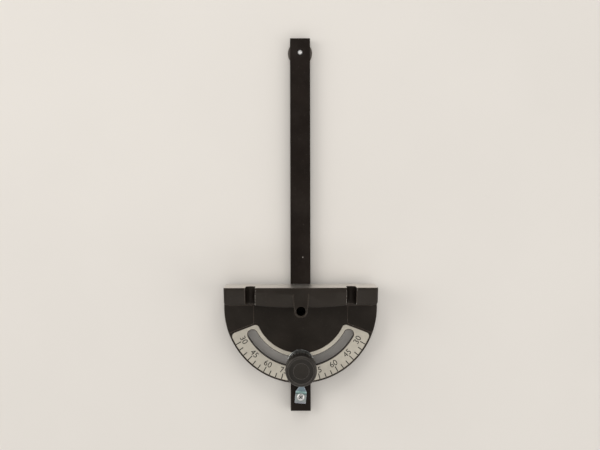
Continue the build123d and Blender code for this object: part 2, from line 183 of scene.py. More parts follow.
class GaugeDetail(bpy.types.PropertyGroup):
    """Small rounded edges, threads and screw recesses."""
    edge_round: length_property("Edge rounding", 0.18, "Rounding of machined edges")
    cast_round: length_property("Casting rounding", 0.35, "Rounding of cast edges")
    sheet_round: length_property("Sheet rounding", 0.08, "Rounding of sheet edges")
    stud_pitch: length_property("Stud pitch", 1.25, "Thread pitch of the clamp stud")
    screw_pitch: length_property("Screw pitch", 0.8, "Thread pitch of the small screws")
    thread_depth: bpy.props.FloatProperty(
        name="Thread depth", description="Depth of a thread as a share of its pitch",
        subtype="FACTOR", min=0.0, max=1.0, default=0.6,
    )
    recess_length: length_property("Recess length", 4.8, "Across the cross recess")
    recess_width: length_property("Recess width", 0.85, "Width of a wing of the recess")
    recess_depth: length_property("Recess depth", 1.3, "Depth of the cross recess")
    recess_turn: angle_property("Recess turn", 42, "Turn of the cross recess")
    lead_chamfer: length_property("Lead chamfer", 0.8, "Chamfer at the ends of the stud")
    pan_shank: length_property("Pan shank", 4.0, "Thread diameter of the pointer's screw")
    pan_crown: length_property("Pan crown", 1.35, "Height of the pan head's rounded edge")
    pan_round: length_property("Pan rounding", 1.9, "Width of the pan head's rounded edge")
    sheet_thickness: length_property("Sheet thickness", 1.0, "Thickness of the pointer")
    disc_shank: length_property("Disc shank", 5.0, "Thread diameter of the disc's screw")
    end_chamfer: length_property("End chamfer", 0.5, "Chamfer at the ends of the screws")
    pointer_turn: angle_property("Pointer turn", -5, "Turn of the pointer on its screw")
    nick_right: length_property("Nick to the right", 2.2, "From the bar's middle line")
    nick_back: length_property("Nick back", 30, "From the bar's middle towards the head")
    nick_radius: length_property("Nick radius", 0.55, "Size of the bright nick in the bar")
    chip_reach: length_property("Chip reach", 1.2, "How far chips run from a slot's lip")
    socket_width: length_property("Socket width", 3.0, "Across the flats of the socket")
    socket_depth: length_property("Socket depth", 1.6, "Depth of the hexagon socket")
    dimple_radius: length_property("Dimple radius", 1.1, "Centre mark in a screw's end")
    dimple_depth: length_property("Dimple depth", 0.7, "Depth of the centre mark")


class GaugeStage(bpy.types.PropertyGroup):
    """Camera, lamps and floor."""
    camera_height: length_property("Camera height", 750, "Height of the camera")
    lens: bpy.props.FloatProperty(
        name="Lens", description="Focal length of the camera", subtype="DISTANCE_CAMERA",
        default=47.31,
    )
    camera_roll: angle_property("Camera roll", 0.115, "Turn of the camera about its line")
    sky_zenith: bpy.props.FloatProperty(
        name="Sky above", description="Brightness of the room above the gauge", default=0.24
    )
    sky_horizon: bpy.props.FloatProperty(
        name="Sky at the sides", description="Brightness of the room around the gauge",
        default=0.7,
    )
    lamp_power: bpy.props.FloatProperty(
        name="Lamp power", description="Power that the side lamps take their shares of",
        unit="POWER", default=3.6,
    )
    top_power: bpy.props.FloatProperty(
        name="Top power", description="Power of the soft lamp over the gauge", unit="POWER",
        default=4.3,
    )


class Nodes:
    """Adds nodes to one node tree and joins them as it goes."""

    def __init__(self, tree):
        self.tree = tree

    def link(self, output, socket):
        self.tree.links.new(output, socket)

    def add(self, kind, inputs=None, **settings):
        """One node. inputs names sockets, and takes values or other nodes' outputs."""
        node = self.tree.nodes.new(kind)
        for name, value in settings.items():
            setattr(node, name, value)
        for name, value in (inputs or {}).items():
            if isinstance(value, bpy.types.NodeSocket):
                self.link(value, node.inputs[name])
            else:
                node.inputs[name].default_value = value
        return node

    def math(self, operation, first, second=0.0, third=0.0):
        inputs = {0: first, 1: second, 2: third}
        return self.add("ShaderNodeMath", inputs, operation=operation).outputs[0]

    def ramp(self, value, low, high):
        """0 up to low, 1 from high on, and smooth between."""
        inputs = {"Value": value, "From Min": low, "From Max": high}
        return self.add(
            "ShaderNodeMapRange", inputs, interpolation_type="SMOOTHSTEP"
        ).outputs[0]

    def mix(self, factor, first, second, blend="MIX"):
        """Mix of two colours."""
        node = self.add(
            "ShaderNodeMix", {0: factor, 6: first, 7: second}, data_type="RGBA",
            blend_type=blend,
        )
        return node.outputs[2]

    def noise(self, vector, scale, detail=2.0, roughness=0.5):
        inputs = {"Vector": vector, "Scale": scale, "Detail": detail, "Roughness": roughness}
        return self.add("ShaderNodeTexNoise", inputs).outputs["Fac"]

    def object_place(self):
        """Object coordinates, which are the frame's own at rest."""
        return self.add("ShaderNodeTexCoord").outputs["Object"]

    def axis(self, vector, name):
        return self.add("ShaderNodeSeparateXYZ", {0: vector}).outputs[name]


def new_group(name, inputs, outputs):
    """An empty shader group. Inputs are (name, type, default), and outputs (name, type)."""
    group = bpy.data.node_groups.new(name, "ShaderNodeTree")
    for socket, socket_type, default in inputs:
        item = group.interface.new_socket(socket, in_out="INPUT", socket_type=socket_type)
        item.default_value = default
    for socket, socket_type in outputs:
        group.interface.new_socket(socket, in_out="OUTPUT", socket_type=socket_type)
    nodes = Nodes(group)
    return group, nodes, nodes.add("NodeGroupInput").outputs, nodes.add("NodeGroupOutput")


def edge_wear_group():
    """Finds the edges of a piece, and where their finish has rubbed thin."""
    group, nodes, given, out = new_group(
        "Edge wear",
        [
            ("Radius", "NodeSocketFloat", 0.0004),
            ("Spread", "NodeSocketFloat", 0.5),
            ("Scale", "NodeSocketFloat", 300.0),
        ],
        [("Edge", "NodeSocketFloat"), ("Wear", "NodeSocketFloat")],
    )
    rounded = nodes.add("ShaderNodeBevel", {"Radius": given["Radius"]}, samples=6)
    surface = nodes.add("ShaderNodeNewGeometry")
    same = nodes.add(
        "ShaderNodeVectorMath", {0: rounded.outputs[0], 1: surface.outputs["Normal"]},
        operation="DOT_PRODUCT",
    ).outputs["Value"]
    edge = nodes.ramp(nodes.math("SUBTRACT", 1.0, same), low=0.01, high=0.22)
    place = nodes.object_place()
    patches = nodes.noise(place, given["Scale"], detail=4.0, roughness=0.65)
    limit = nodes.math("SUBTRACT", 1.0, given["Spread"])
    softness = 0.12
    worn = nodes.ramp(patches, low=limit, high=nodes.math("ADD", limit, softness))
    nodes.link(edge, out.inputs["Edge"])
    nodes.link(nodes.math("MULTIPLY", edge, worn), out.inputs["Wear"])
    return group


def grain_group():
    """Fine grain of a cast, moulded or plated surface, with broad soft patches."""
    group, nodes, given, out = new_group(
        "Surface grain",
        [("Grain", "NodeSocketFloat", 2000.0), ("Patches", "NodeSocketFloat", 40.0)],
        [("Height", "NodeSocketFloat"), ("Patches", "NodeSocketFloat")],
    )
    place = nodes.object_place()
    grain = nodes.noise(place, given["Grain"], detail=3.0, roughness=0.6)
    broad = nodes.noise(place, given["Patches"], detail=3.0, roughness=0.55)
    nodes.link(grain, out.inputs["Height"])
    nodes.link(nodes.ramp(broad, low=0.3, high=0.7), out.inputs["Patches"])
    return group


def brushed_group():
    """Long fine scratches along one direction."""
    group, nodes, given, out = new_group(
        "Brushed lines",
        [
            ("Stretch", "NodeSocketVector", (1.0, 0.02, 1.0)),
            ("Scale", "NodeSocketFloat", 3000.0),
        ],
        [("Lines", "NodeSocketFloat")],
    )
    place = nodes.object_place()
    drawn = nodes.add(
        "ShaderNodeVectorMath", {0: place, 1: given["Stretch"]}, operation="MULTIPLY"
    ).outputs["Vector"]
    lines = nodes.noise(drawn, given["Scale"], detail=4.0, roughness=0.7)
    nodes.link(lines, out.inputs["Lines"])
    return group


def dust_group():
    """Specks and a thin film that lie on the faces turned upwards."""
    group, nodes, given, out = new_group(
        "Dust",
        [("Amount", "NodeSocketFloat", 0.3), ("Speck Scale", "NodeSocketFloat", 900.0)],
        [("Dust", "NodeSocketFloat")],
    )
    place = nodes.object_place()
    grains = nodes.noise(place, given["Speck Scale"], detail=1.0)
    specks = nodes.ramp(grains, low=0.68, high=0.76)
    clouds = nodes.noise(place, scale=60.0, detail=5.0, roughness=0.7)
    film = nodes.ramp(clouds, low=0.4, high=0.8)
    film_share = 0.3
    both = nodes.math("MULTIPLY_ADD", film, film_share, specks)
    up = nodes.axis(nodes.add("ShaderNodeNewGeometry").outputs["Normal"], "Z")
    lying = nodes.math("MULTIPLY", both, nodes.ramp(up, low=0.4, high=0.95))
    dust = nodes.math("MULTIPLY", lying, given["Amount"])
    nodes.link(dust, out.inputs["Dust"])
    return group


def start_material(name):
    """Node builder and Principled shader of a new material."""
    material = bpy.data.materials.new(name)
    material.use_nodes = True
    return Nodes(material.node_tree), material.node_tree.nodes["Principled BSDF"]


def place_group(nodes, name, make, **inputs):
    """Places a shared group, made on first use. Inputs are socket names in lower case."""
    group = bpy.data.node_groups.get(name) or make()
    node = nodes.add("ShaderNodeGroup", node_tree=group)
    for key, value in inputs.items():
        node.inputs[key.replace("_", " ").title()].default_value = value
    return node.outputs


def set_bump(nodes, shader, height, strength, distance):
    bump = nodes.add(
        "ShaderNodeBump", {"Height": height, "Strength": strength, "Distance": distance}
    )
    nodes.link(bump.outputs["Normal"], shader.inputs["Normal"])


def toned(colour, share=1.0):
    """A colour made darker or lighter by a share, with full alpha."""
    return tuple(part * share for part in colour) + (1.0,)


def grey(value):
    return (value, value, value, 1.0)


# Shares of a finish's colour in its patches, its lines and at its edges.
COAT_PATCHES = (0.84, 1.16)
COAT_WORN = 0.4
METAL_LINES = (0.84, 1.1)
METAL_PATCHES = (1.0, 0.9)
METAL_EDGE = 1.15
# How much roughness grows over patches and under dust.
PATCH_ROUGHNESS = 0.1
DUST_ROUGHNESS = 0.5
# Roughness taken off a metal all over, and added on its lines.
LINE_DROP = 0.12
LINE_ROUGHNESS = 0.25
# Height of the finest relief.
GRAIN_HEIGHT = 0.012 * MM
LINE_HEIGHT = 0.03 * MM


def coated_material(
    name, colour, roughness, grain, bump, specular, wear, dust, painted_edge_highlight=1.6,
    edge_radius=0.45, bared=None,
):
    """Black finishes: enamel, oxide or plastic, with a painted highlight lightening every edge,
    also rubbed at the edges and lightly dusty.

    bared is a function that adds the nodes of a mask where the finish is gone."""
    colours = bpy.context.scene.gauge_colours
    colour = getattr(colours, colour)
    nodes, shader = start_material(name)
    surface = place_group(nodes, "Surface grain", grain_group, grain=grain, patches=40.0)
    edges = place_group(
        nodes, "Edge wear", edge_wear_group, radius=edge_radius * MM, spread=wear)
    film = place_group(nodes, "Dust", dust_group, amount=dust)
    dark, light = COAT_PATCHES
    base = nodes.mix(surface["Patches"], toned(colour, dark), toned(colour, light))
    # Painted highlight: the colour made several times lighter along every edge.
    base = nodes.mix(edges["Edge"], base, toned(colour, painted_edge_highlight))
    base = nodes.mix(edges["Wear"], base, toned(colours.bare_metal, COAT_WORN))
    base = nodes.mix(film["Dust"], base, toned(colours.dust))
    if bared:
        base = nodes.mix(bared(nodes, edges["Edge"]), base, toned(colours.bare_metal))
    nodes.link(base, shader.inputs["Base Color"])
    rough = nodes.math(
        "MULTIPLY_ADD", surface["Patches"], PATCH_ROUGHNESS, roughness - PATCH_ROUGHNESS / 2)
    rough = nodes.math("MULTIPLY_ADD", film["Dust"], DUST_ROUGHNESS, rough)
    nodes.link(rough, shader.inputs["Roughness"])
    shader.inputs["Specular IOR Level"].default_value = specular
    shader.inputs["Specular Tint"].default_value = toned(colours.sheen)
    set_bump(nodes, shader, surface["Height"], bump, GRAIN_HEIGHT)


def metal_material(
    name, colour, roughness, stretch, metallic=1.0, edge_colour=None, wear=0.5,
    edge_radius=0.3, bands=None, line_bump=0.25,
):
    """Plated, brushed or bare metal with fine lines and slightly uneven gloss.

    bands is a function that adds the nodes of a colour which changes along the piece."""
    colours = bpy.context.scene.gauge_colours
    edge_colour = getattr(colours, edge_colour or colour)
    nodes, shader = start_material(name)
    lines = place_group(nodes, "Brushed lines", brushed_group, stretch=stretch)["Lines"]
    surface = place_group(nodes, "Surface grain", grain_group, grain=2600.0, patches=180.0)
    edges = place_group(
        nodes, "Edge wear", edge_wear_group, radius=edge_radius * MM, spread=wear)
    base = bands(nodes) if bands else toned(getattr(colours, colour))
    for mask, tones in ((lines, METAL_LINES), (surface["Patches"], METAL_PATCHES)):
        base = nodes.mix(1.0, base, nodes.mix(mask, *map(grey, tones)), "MULTIPLY")
    # Worn edges take edge_colour: plain wear on most metals, a painted shade on the zinc parts
    # and a painted highlight on the pointer.
    base = nodes.mix(edges["Wear"], base, toned(edge_colour, METAL_EDGE))
    nodes.link(base, shader.inputs["Base Color"])
    shader.inputs["Metallic"].default_value = metallic
    rough = nodes.math("MULTIPLY_ADD", lines, LINE_ROUGHNESS, roughness - LINE_DROP)
    nodes.link(rough, shader.inputs["Roughness"])
    set_bump(nodes, shader, lines, line_bump, LINE_HEIGHT)


def matt_material(name, colour, roughness, grain, patches, tones):
    """Print or card: matt, with the faintest unevenness."""
    colour = getattr(bpy.context.scene.gauge_colours, colour)
    nodes, shader = start_material(name)
    surface = place_group(nodes, "Surface grain", grain_group, grain=grain, patches=patches)
    base = nodes.mix(surface["Patches"], *(toned(colour, tone) for tone in tones))
    nodes.link(base, shader.inputs["Base Color"])
    shader.inputs["Roughness"].default_value = roughness
    shader.inputs["Specular IOR Level"].default_value = 0.2


def bar_nick(nodes, _edge):
    """The small bright nick in the top of the bar."""
    detail = bpy.context.scene.gauge_detail
    middle = (detail.nick_right, -detail.nick_back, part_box("guide_bar")[1].z)
    distance = nodes.add(
        "ShaderNodeVectorMath", {0: nodes.object_place(), 1: middle}, operation="DISTANCE"
    ).outputs["Value"]
    core = 0.6 * detail.nick_radius
    near = nodes.ramp(distance, low=core, high=detail.nick_radius)
    return nodes.math("SUBTRACT", 1.0, near)


def slot_chips(nodes, edge):
    """Chips in the enamel along the lips of the fence's two slots, near its top."""
    reach = bpy.context.scene.gauge_detail.chip_reach
    slot_x = FENCE_SLOTS["spacing_x_mm"] / 2 * MM
    half_width = FENCE_SLOTS["hole_r_mm"] * MM
    place = nodes.object_place()
    across = nodes.math("ABSOLUTE", nodes.axis(place, "X"))
    from_middle = nodes.math("ABSOLUTE", nodes.math("SUBTRACT", across, slot_x))
    from_lip = nodes.math("ABSOLUTE", nodes.math("SUBTRACT", from_middle, half_width))
    near = nodes.math("SUBTRACT", 1.0, nodes.ramp(from_lip, low=reach / 2, high=reach))
    low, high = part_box("protractor_head")
    top_zone = 6 * MM
    upper = nodes.ramp(
        nodes.axis(place, "Z"), low=(low.z + high.z) / 2, high=high.z - top_zone)
    patches = nodes.noise(place, scale=420.0, detail=3.0, roughness=0.6)
    chips = nodes.ramp(patches, low=0.52, high=0.58)
    return nodes.math(
        "MULTIPLY", nodes.math("MULTIPLY", near, upper), nodes.math("MULTIPLY", chips, edge))


# Millimetres from the pointer's screw towards its tip, and the plating's colour there, with a
# painted shade in the hollow and a painted highlight over the bend.
POINTER_STOPS = (
    (-6.3, "pointer_tail"), (-3.5, "pointer_foot"), (1.9, "pointer_foot"),
    (2.8, "pointer_hollow"), (3.9, "pointer_bend"), (4.7, "pointer_bend"),
    (5.7, "pointer_blade"), (13.0, "pointer_blade"),
)


def pointer_bands(nodes):
    """The plating's colour along the pointer, from its tail over the bend to its tip, with a
    dark band of painted shade before the bend and a light band of painted highlight over it.
    """
    scene = bpy.context.scene
    along = nodes.axis(nodes.add("ShaderNodeMapping", {
        "Vector": nodes.object_place(), "Location": node_axis("pointer_screw")[0],
        "Rotation": (0.0, 0.0, scene.gauge_detail.pointer_turn),
    }, vector_type="TEXTURE").outputs[0], "Y")
    places = [place for place, _ in POINTER_STOPS]
    tones = [toned(getattr(scene.gauge_colours, name)) for _, name in POINTER_STOPS]
    low, high = places[0], places[-1]
    share = nodes.add("ShaderNodeMapRange", {
        "Value": along, "From Min": low * MM, "From Max": high * MM}).outputs[0]
    ramp = nodes.add("ShaderNodeValToRGB", {"Fac": share})
    elements = ramp.color_ramp.elements
    elements[0].color = tones[0]
    elements[-1].color = tones[-1]
    for place, tone in list(zip(places, tones))[1:-1]:
        elements.new((place - low) / (high - low)).color = tone
    return ramp.outputs["Color"]


FINISHES = {
    "bar_oxide": (coated_material, dict(
        colour="bar", roughness=0.42, grain=2400.0, bump=0.25, specular=0.16, wear=0.42,
        dust=0.06, bared=bar_nick)),
    "screw_oxide": (coated_material, dict(
        colour="bar", roughness=0.45, grain=2400.0, bump=0.2, specular=0.16, wear=0.3,
        dust=0.04)),
    # The head's and the knob's edges carry a strong painted highlight.
    "head_enamel": (coated_material, dict(
        colour="casting", roughness=0.42, grain=1400.0, bump=0.35, specular=0.3, wear=0.45,
        dust=0.05, painted_edge_highlight=9.0, edge_radius=0.9, bared=slot_chips)),
    "knob_moulding": (coated_material, dict(
        colour="knob", roughness=0.38, grain=3000.0, bump=0.3, specular=0.5, wear=0.4,
        dust=0.05, painted_edge_highlight=8.0, edge_radius=1.5)),
    "cap_moulding": (coated_material, dict(
        colour="cap", roughness=0.4, grain=3000.0, bump=0.3, specular=0.5, wear=0.3,
        dust=0.06, painted_edge_highlight=2.0, edge_radius=0.5)),
    "fence_machined": (metal_material, dict(
        colour="machined", roughness=0.32, stretch=(0.04, 1.0, 1.0))),
    "disc_phosphate": (metal_material, dict(
        colour="disc", roughness=0.55, stretch=(1.0, 1.0, 1.0), metallic=0.6)),
    "scale_aluminium": (metal_material, dict(
        colour="plate", roughness=0.5, stretch=(0.06, 1.0, 1.0), metallic=0.15)),
    # The zinc's edges are darkened with painted shade.
    "zinc_plating": (metal_material, dict(
        colour="zinc", roughness=0.1, stretch=(1.0, 0.3, 1.0), edge_colour="grime",
        wear=1.0, line_bump=0.01)),
    "pointer_plating": (metal_material, dict(
        colour="pointer_foot", roughness=0.42, stretch=(1.0, 0.08, 1.0), metallic=0.65,
        edge_colour="pointer_edge", wear=0.9, edge_radius=1.0, bands=pointer_bands)),
    "bright_steel": (metal_material, dict(
        colour="steel", roughness=0.34, stretch=(1.0, 1.0, 0.1), metallic=0.8)),
    # Painted shade for the inside of the screw's cross recess.
    "recess_grime": (metal_material, dict(
        colour="grime", roughness=0.6, stretch=(1.0, 1.0, 1.0), metallic=0.4)),
    "scale_ink": (matt_material, dict(
        colour="ink", roughness=0.6, grain=3500.0, patches=300.0, tones=(1.0, 1.5))),
    "floor_card": (matt_material, dict(
        colour="floor", roughness=0.7, grain=900.0, patches=6.0, tones=(0.98, 1.0))),
}


def gauge_finish(name):
    """The material of that name, made on first use."""
    if name not in bpy.data.materials:
        make, settings = FINISHES[name]
        make(name, **settings)
    return bpy.data.materials[name]


def new_object(name, mesh, finish):
    """A linked object at the origin with one material."""
    mesh.materials.clear()
    mesh.materials.append(finish)
    made = bpy.data.objects.new(name, mesh)
    bpy.context.scene.collection.objects.link(made)
    return made


def applied(made, modifiers):
    """Applies modifiers, given as (type, settings), and leaves a plain mesh."""
    for kind, settings in modifiers:
        modifier = made.modifiers.new(kind.title(), kind)
        for name, value in settings.items():
            setattr(modifier, name, value)
    made.update_tag()
    bpy.context.view_layer.update()
    graph = bpy.context.evaluated_depsgraph_get()
    mesh = bpy.data.meshes.new_from_object(made.evaluated_get(graph), depsgraph=graph)
    made.modifiers.clear()
    old = made.data
    made.data = mesh
    bpy.data.meshes.remove(old)
    return made


def stand_for(made, node):
    """The piece takes a CAD node's place: it joins the node's body, and the node is hidden."""
    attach(made, BODY_OF[node])
    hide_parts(node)
    return made


def refined_copy(node, finish, round_radius):
    """A CAD node's shape with joined faces, finely rounded edges and smooth shading."""
    build = bmesh.new()
    build.from_mesh(frame["nodes"][node].data)
    bmesh.ops.remove_doubles(build, verts=build.verts, dist=WELD_DISTANCE)
    bmesh.ops.dissolve_limit(
        build, angle_limit=FLAT_ANGLE, verts=build.verts, edges=build.edges
    )
    mesh = bpy.data.meshes.new(f"{node}_finished")
    build.to_mesh(mesh)
    build.free()
    made = new_object(f"{node}_finished", mesh, finish)
    made.data.shade_smooth()
    bevel = {
        "width": round_radius, "segments": 2, "limit_method": "ANGLE",
        "angle_limit": BEVEL_ANGLE, "harden_normals": True, "use_clamp_overlap": True,
    }
    applied(made, [("BEVEL", bevel), ("WEIGHTED_NORMAL", {"keep_sharp": True})])
    return stand_for(made, node)


def lathe(profile, segments=64):
    """A closed solid turned about Z from (radius, height) points, bottom pole first."""
    build = bmesh.new()
    rings = []
    for radius, height in profile:
        if radius == 0:
            rings.append([build.verts.new((0, 0, height))])
            continue
        angles = [2 * math.pi * step / segments for step in range(segments)]
        rings.append([
            build.verts.new((radius * math.cos(a), radius * math.sin(a), height)) for a in angles
        ])
    for lower, upper in zip(rings, rings[1:]):
        for step in range(segments):
            after = (step + 1) % segments
            corners = [lower[step % len(lower)], lower[after % len(lower)],
                       upper[after % len(upper)], upper[step % len(upper)]]
            build.faces.new(list(dict.fromkeys(corners)))
    bmesh.ops.recalc_face_normals(build, faces=build.faces)
    mesh = bpy.data.meshes.new("turned")
    build.to_mesh(mesh)
    build.free()
    return mesh


# Where a thread's crest starts and ends, as shares of its pitch.
CREST_START = 0.4
CREST_END = 0.6


def threaded_profile(radius, bottom, top, pitch, share):
    """Points of a threaded length, as ridges one pitch apart, from bottom to top."""
    depth = share * pitch
    turns = max(1, int((top - bottom) / pitch))
    step = (top - bottom) / turns
    points = []
    for turn in range(turns):
        start = bottom + turn * step
        points += [
            (radius - depth, start),
            (radius, start + CREST_START * step),
            (radius, start + CREST_END * step),
        ]
    return points + [(radius - depth, top)]


def cut(made, cutters):
    """Takes cutter meshes out of a piece with exact booleans."""
    for mesh in cutters:
        cutter = bpy.data.objects.new("cutter", mesh)
        bpy.context.scene.collection.objects.link(cutter)
        applied(made, [("BOOLEAN", {
            "operation": "DIFFERENCE", "object": cutter, "solver": "EXACT"})])
        bpy.data.objects.remove(cutter)
    return made


def smoothed(made):
    """Smooth shading that keeps edges over the sharp angle sharp."""
    made.data.shade_smooth()
    made.data.set_sharp_from_angle(angle=SHARP_ANGLE)
    return made


def moved(mesh, place, turn=0.0):
    """Puts a mesh at its place in the frame, turned about its own upright axis."""
    mesh.transform(Matrix.Translation(place) @ Matrix.Rotation(turn, 4, "Z"))
    return mesh


def prism(sides, across, bottom, top):
    """An upright prism with that many sides, across its flats."""
    build = bmesh.new()
    radius = across / 2 / math.cos(math.pi / sides)
    bmesh.ops.create_cone(
        build, cap_ends=True, segments=sides, radius1=radius, radius2=radius,
        depth=top - bottom,
    )
    bmesh.ops.translate(build, verts=build.verts, vec=(0, 0, (top + bottom) / 2))
    mesh = bpy.data.meshes.new("prism")
    build.to_mesh(mesh)
    build.free()
    return mesh


# A recess's length and width at its floor, as shares of those at its top.
FLOOR_LENGTH = 0.45
FLOOR_WIDTH = 0.55


def recess_wing(length, width, top, depth, turn):
    """One tapered wing of a cross recess, narrower and shorter at its bottom."""
    build = bmesh.new()
    bmesh.ops.create_cube(build, size=1.0)
    for vertex in build.verts:
        low = vertex.co.z < 0
        vertex.co.x *= length * (FLOOR_LENGTH if low else 1.0)
        vertex.co.y *= width * (FLOOR_WIDTH if low else 1.0)
        vertex.co.z = top - depth if low else top
    mesh = bpy.data.meshes.new("recess")
    build.to_mesh(mesh)
    build.free()
    mesh.transform(Matrix.Rotation(turn, 4, "Z"))
    return mesh


def node_axis(node):
    """Middle of a CAD node in plan, and its lowest and highest points."""
    low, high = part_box(node)
    return Vector(((low.x + high.x) / 2, (low.y + high.y) / 2, 0)), low.z, high.z


def make_stud():
    """The clamp's threaded stud, with its end chamfered."""
    detail = bpy.context.scene.gauge_detail
    axis, bottom, top = node_axis("knob_stud")
    low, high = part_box("knob_stud")
    radius = (high.x - low.x) / 2
    lead = detail.lead_chamfer
    profile = [(0, bottom), (radius - lead, bottom)]
    profile += threaded_profile(
        radius, bottom + lead / 2, top - lead, detail.stud_pitch, detail.thread_depth)
    profile += [(radius - lead, top), (0, top)]
    mesh = moved(lathe(profile, segments=48), axis)
    made = new_object("knob_stud_threaded", mesh, gauge_finish("zinc_plating"))
    return stand_for(smoothed(made), "knob_stud")


def make_pointer_screw():
    """Pan-head screw with a cross recess darkened by painted shade, and a threaded shank."""
    detail = bpy.context.scene.gauge_detail
    axis, bottom, top = node_axis("pointer_screw")
    low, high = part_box("pointer_screw")
    head_radius = (high.x - low.x) / 2
    shank_radius = detail.pan_shank / 2
    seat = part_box("guide_bar")[1].z + detail.sheet_thickness
    crown = detail.pan_crown
    profile = [(0, bottom), (shank_radius - detail.end_chamfer, bottom)]
    profile += threaded_profile(
        shank_radius, bottom + detail.end_chamfer / 2, seat, detail.screw_pitch,
        detail.thread_depth)
    lower_edge = detail.edge_round / 2
    profile += [(head_radius - lower_edge, seat), (head_radius, seat + lower_edge)]
    for degrees in range(0, 91, 15):
        angle = math.radians(degrees)
        profile.append((
            head_radius - detail.pan_round * (1 - math.cos(angle)),
            top - crown + crown * math.sin(angle),
        ))
    profile.append((0, top))
    made = new_object("pointer_screw_pan_head", lathe(profile), gauge_finish("bright_steel"))
    cut(made, [
        recess_wing(
            detail.recess_length, detail.recess_width, top + CUT_MARGIN, detail.recess_depth,
            detail.recess_turn + quarter * math.pi / 2)
        for quarter in (0, 1)
    ])
    # The recess's faces take a dark material as painted shade.
    made.data.materials.append(gauge_finish("recess_grime"))
    lip = crown / 8
    for polygon in made.data.polygons:
        middle = polygon.center
        inside = math.hypot(middle.x, middle.y) < detail.recess_length / 2
        if inside and seat < middle.z < top - lip:
            polygon.material_index = 1
    moved(made.data, axis)
    return stand_for(smoothed(made), "pointer_screw")


def make_disc_screw():
    """Countersunk screw with a hexagon socket below and a centre mark in its end."""
    detail = bpy.context.scene.gauge_detail
    axis, bottom, top = node_axis("disc_screw")
    low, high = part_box("disc_screw")
    head_radius = (high.x - low.x) / 2
    shank_radius = detail.disc_shank / 2
    neck = bottom + head_radius - shank_radius
    edge = detail.edge_round
    profile = [(0, bottom), (head_radius - edge, bottom), (head_radius, bottom + edge / 2)]
    profile += threaded_profile(
        shank_radius, neck, top - detail.end_chamfer, detail.screw_pitch,
        detail.thread_depth)
    profile += [
        (shank_radius - detail.end_chamfer, top),
        (detail.dimple_radius, top),
        (0, top - detail.dimple_depth),
    ]
    made = new_object("disc_screw_finished", lathe(profile), gauge_finish("bright_steel"))
    socket_top = bottom + detail.socket_depth
    cut(made, [prism(6, detail.socket_width, bottom - CUT_MARGIN, socket_top)])
    moved(made.data, axis)
    return stand_for(smoothed(made), "disc_screw")


def graduation_tree():
    """Geometry nodes that set lines round an arc, every few of them longer."""
    group = bpy.data.node_groups.new("Graduations", "GeometryNodeTree")
    face = group.interface
    for name, kind in (
        ("Count", "NodeSocketInt"), ("Step", "NodeSocketFloat"), ("Radius", "NodeSocketFloat"),
        ("Short", "NodeSocketFloat"), ("Long", "NodeSocketFloat"), ("Every", "NodeSocketInt"),
        ("Width", "NodeSocketFloat"), ("Thickness", "NodeSocketFloat"),
        ("Material", "NodeSocketMaterial"),
    ):
        face.new_socket(name, in_out="INPUT", socket_type=kind)
    face.new_socket("Geometry", in_out="OUTPUT", socket_type="NodeSocketGeometry")
    nodes = Nodes(group)
    given = nodes.add("NodeGroupInput").outputs
    number = nodes.add("GeometryNodeInputIndex").outputs[0]

    middle = nodes.math("DIVIDE", nodes.math("SUBTRACT", given["Count"], 1.0), 2.0)
    angle = nodes.math("MULTIPLY", nodes.math("SUBTRACT", number, middle), given["Step"])
    remainder = nodes.math("MODULO", number, given["Every"])
    is_long = nodes.math("LESS_THAN", remainder, 0.5)
    extra = nodes.math("SUBTRACT", given["Long"], given["Short"])
    length = nodes.math("MULTIPLY_ADD", is_long, extra, given["Short"])
    centre = nodes.math("SUBTRACT", given["Radius"], nodes.math("DIVIDE", length, 2.0))
    place = nodes.add("ShaderNodeCombineXYZ", {
        "X": nodes.math("MULTIPLY", nodes.math("SINE", angle), centre),
        "Y": nodes.math("MULTIPLY", nodes.math("COSINE", angle), nodes.math(
            "MULTIPLY", centre, -1.0)),
    })
    points = nodes.add(
        "GeometryNodePoints", {"Count": given["Count"], "Position": place.outputs[0]})
    line = nodes.add("GeometryNodeMeshCube", {"Size": (1.0, 1.0, 1.0)})
    turn = nodes.add("ShaderNodeCombineXYZ", {"Z": angle})
    size = nodes.add(
        "ShaderNodeCombineXYZ", {"X": given["Width"], "Y": length, "Z": given["Thickness"]})
    lines = nodes.add("GeometryNodeInstanceOnPoints", {
        "Points": points.outputs[0], "Instance": line.outputs["Mesh"],
        "Rotation": turn.outputs[0], "Scale": size.outputs[0],
    })
    real = nodes.add("GeometryNodeRealizeInstances", {"Geometry": lines.outputs[0]})
    inked = nodes.add("GeometryNodeSetMaterial", {
        "Geometry": real.outputs[0], "Material": given["Material"]})
    nodes.add("NodeGroupOutput", {"Geometry": inked.outputs[0]})
    return group


def scale_size():
    """Outer radius of the angle scale about the pivot, and the height of its top."""
    low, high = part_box("angle_scale")
    return PIVOT.y - low.y, high.z


def make_graduations():
    """Every line of the scale, in one mesh."""
    printed = bpy.context.scene.gauge_print
    radius, top = scale_size()
    ink = gauge_finish("scale_ink")
    made = new_object("scale_graduations", bpy.data.meshes.new("lines"), ink)
    tree = graduation_tree()
    modifier = made.modifiers.new("Graduations", "NODES")
    modifier.node_group = tree
    values = {
        "Count": 2 * round(printed.reach / printed.step) + 1,
        "Step": printed.step,
        "Radius": radius - printed.rim_gap,
        "Short": printed.short_length,
        "Long": printed.long_length,
        "Every": printed.long_every,
        "Width": printed.line_width,
        "Thickness": 2 * printed.ink_thickness,
        "Material": ink,
    }
    for item in tree.interface.items_tree:
        if item.in_out == "INPUT":
            modifier[item.identifier] = values[item.name]
    applied(made, [])
    moved(made.data, Vector((PIVOT.x, PIVOT.y, top)))
    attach(made, BODY_OF["angle_scale"])
    return made


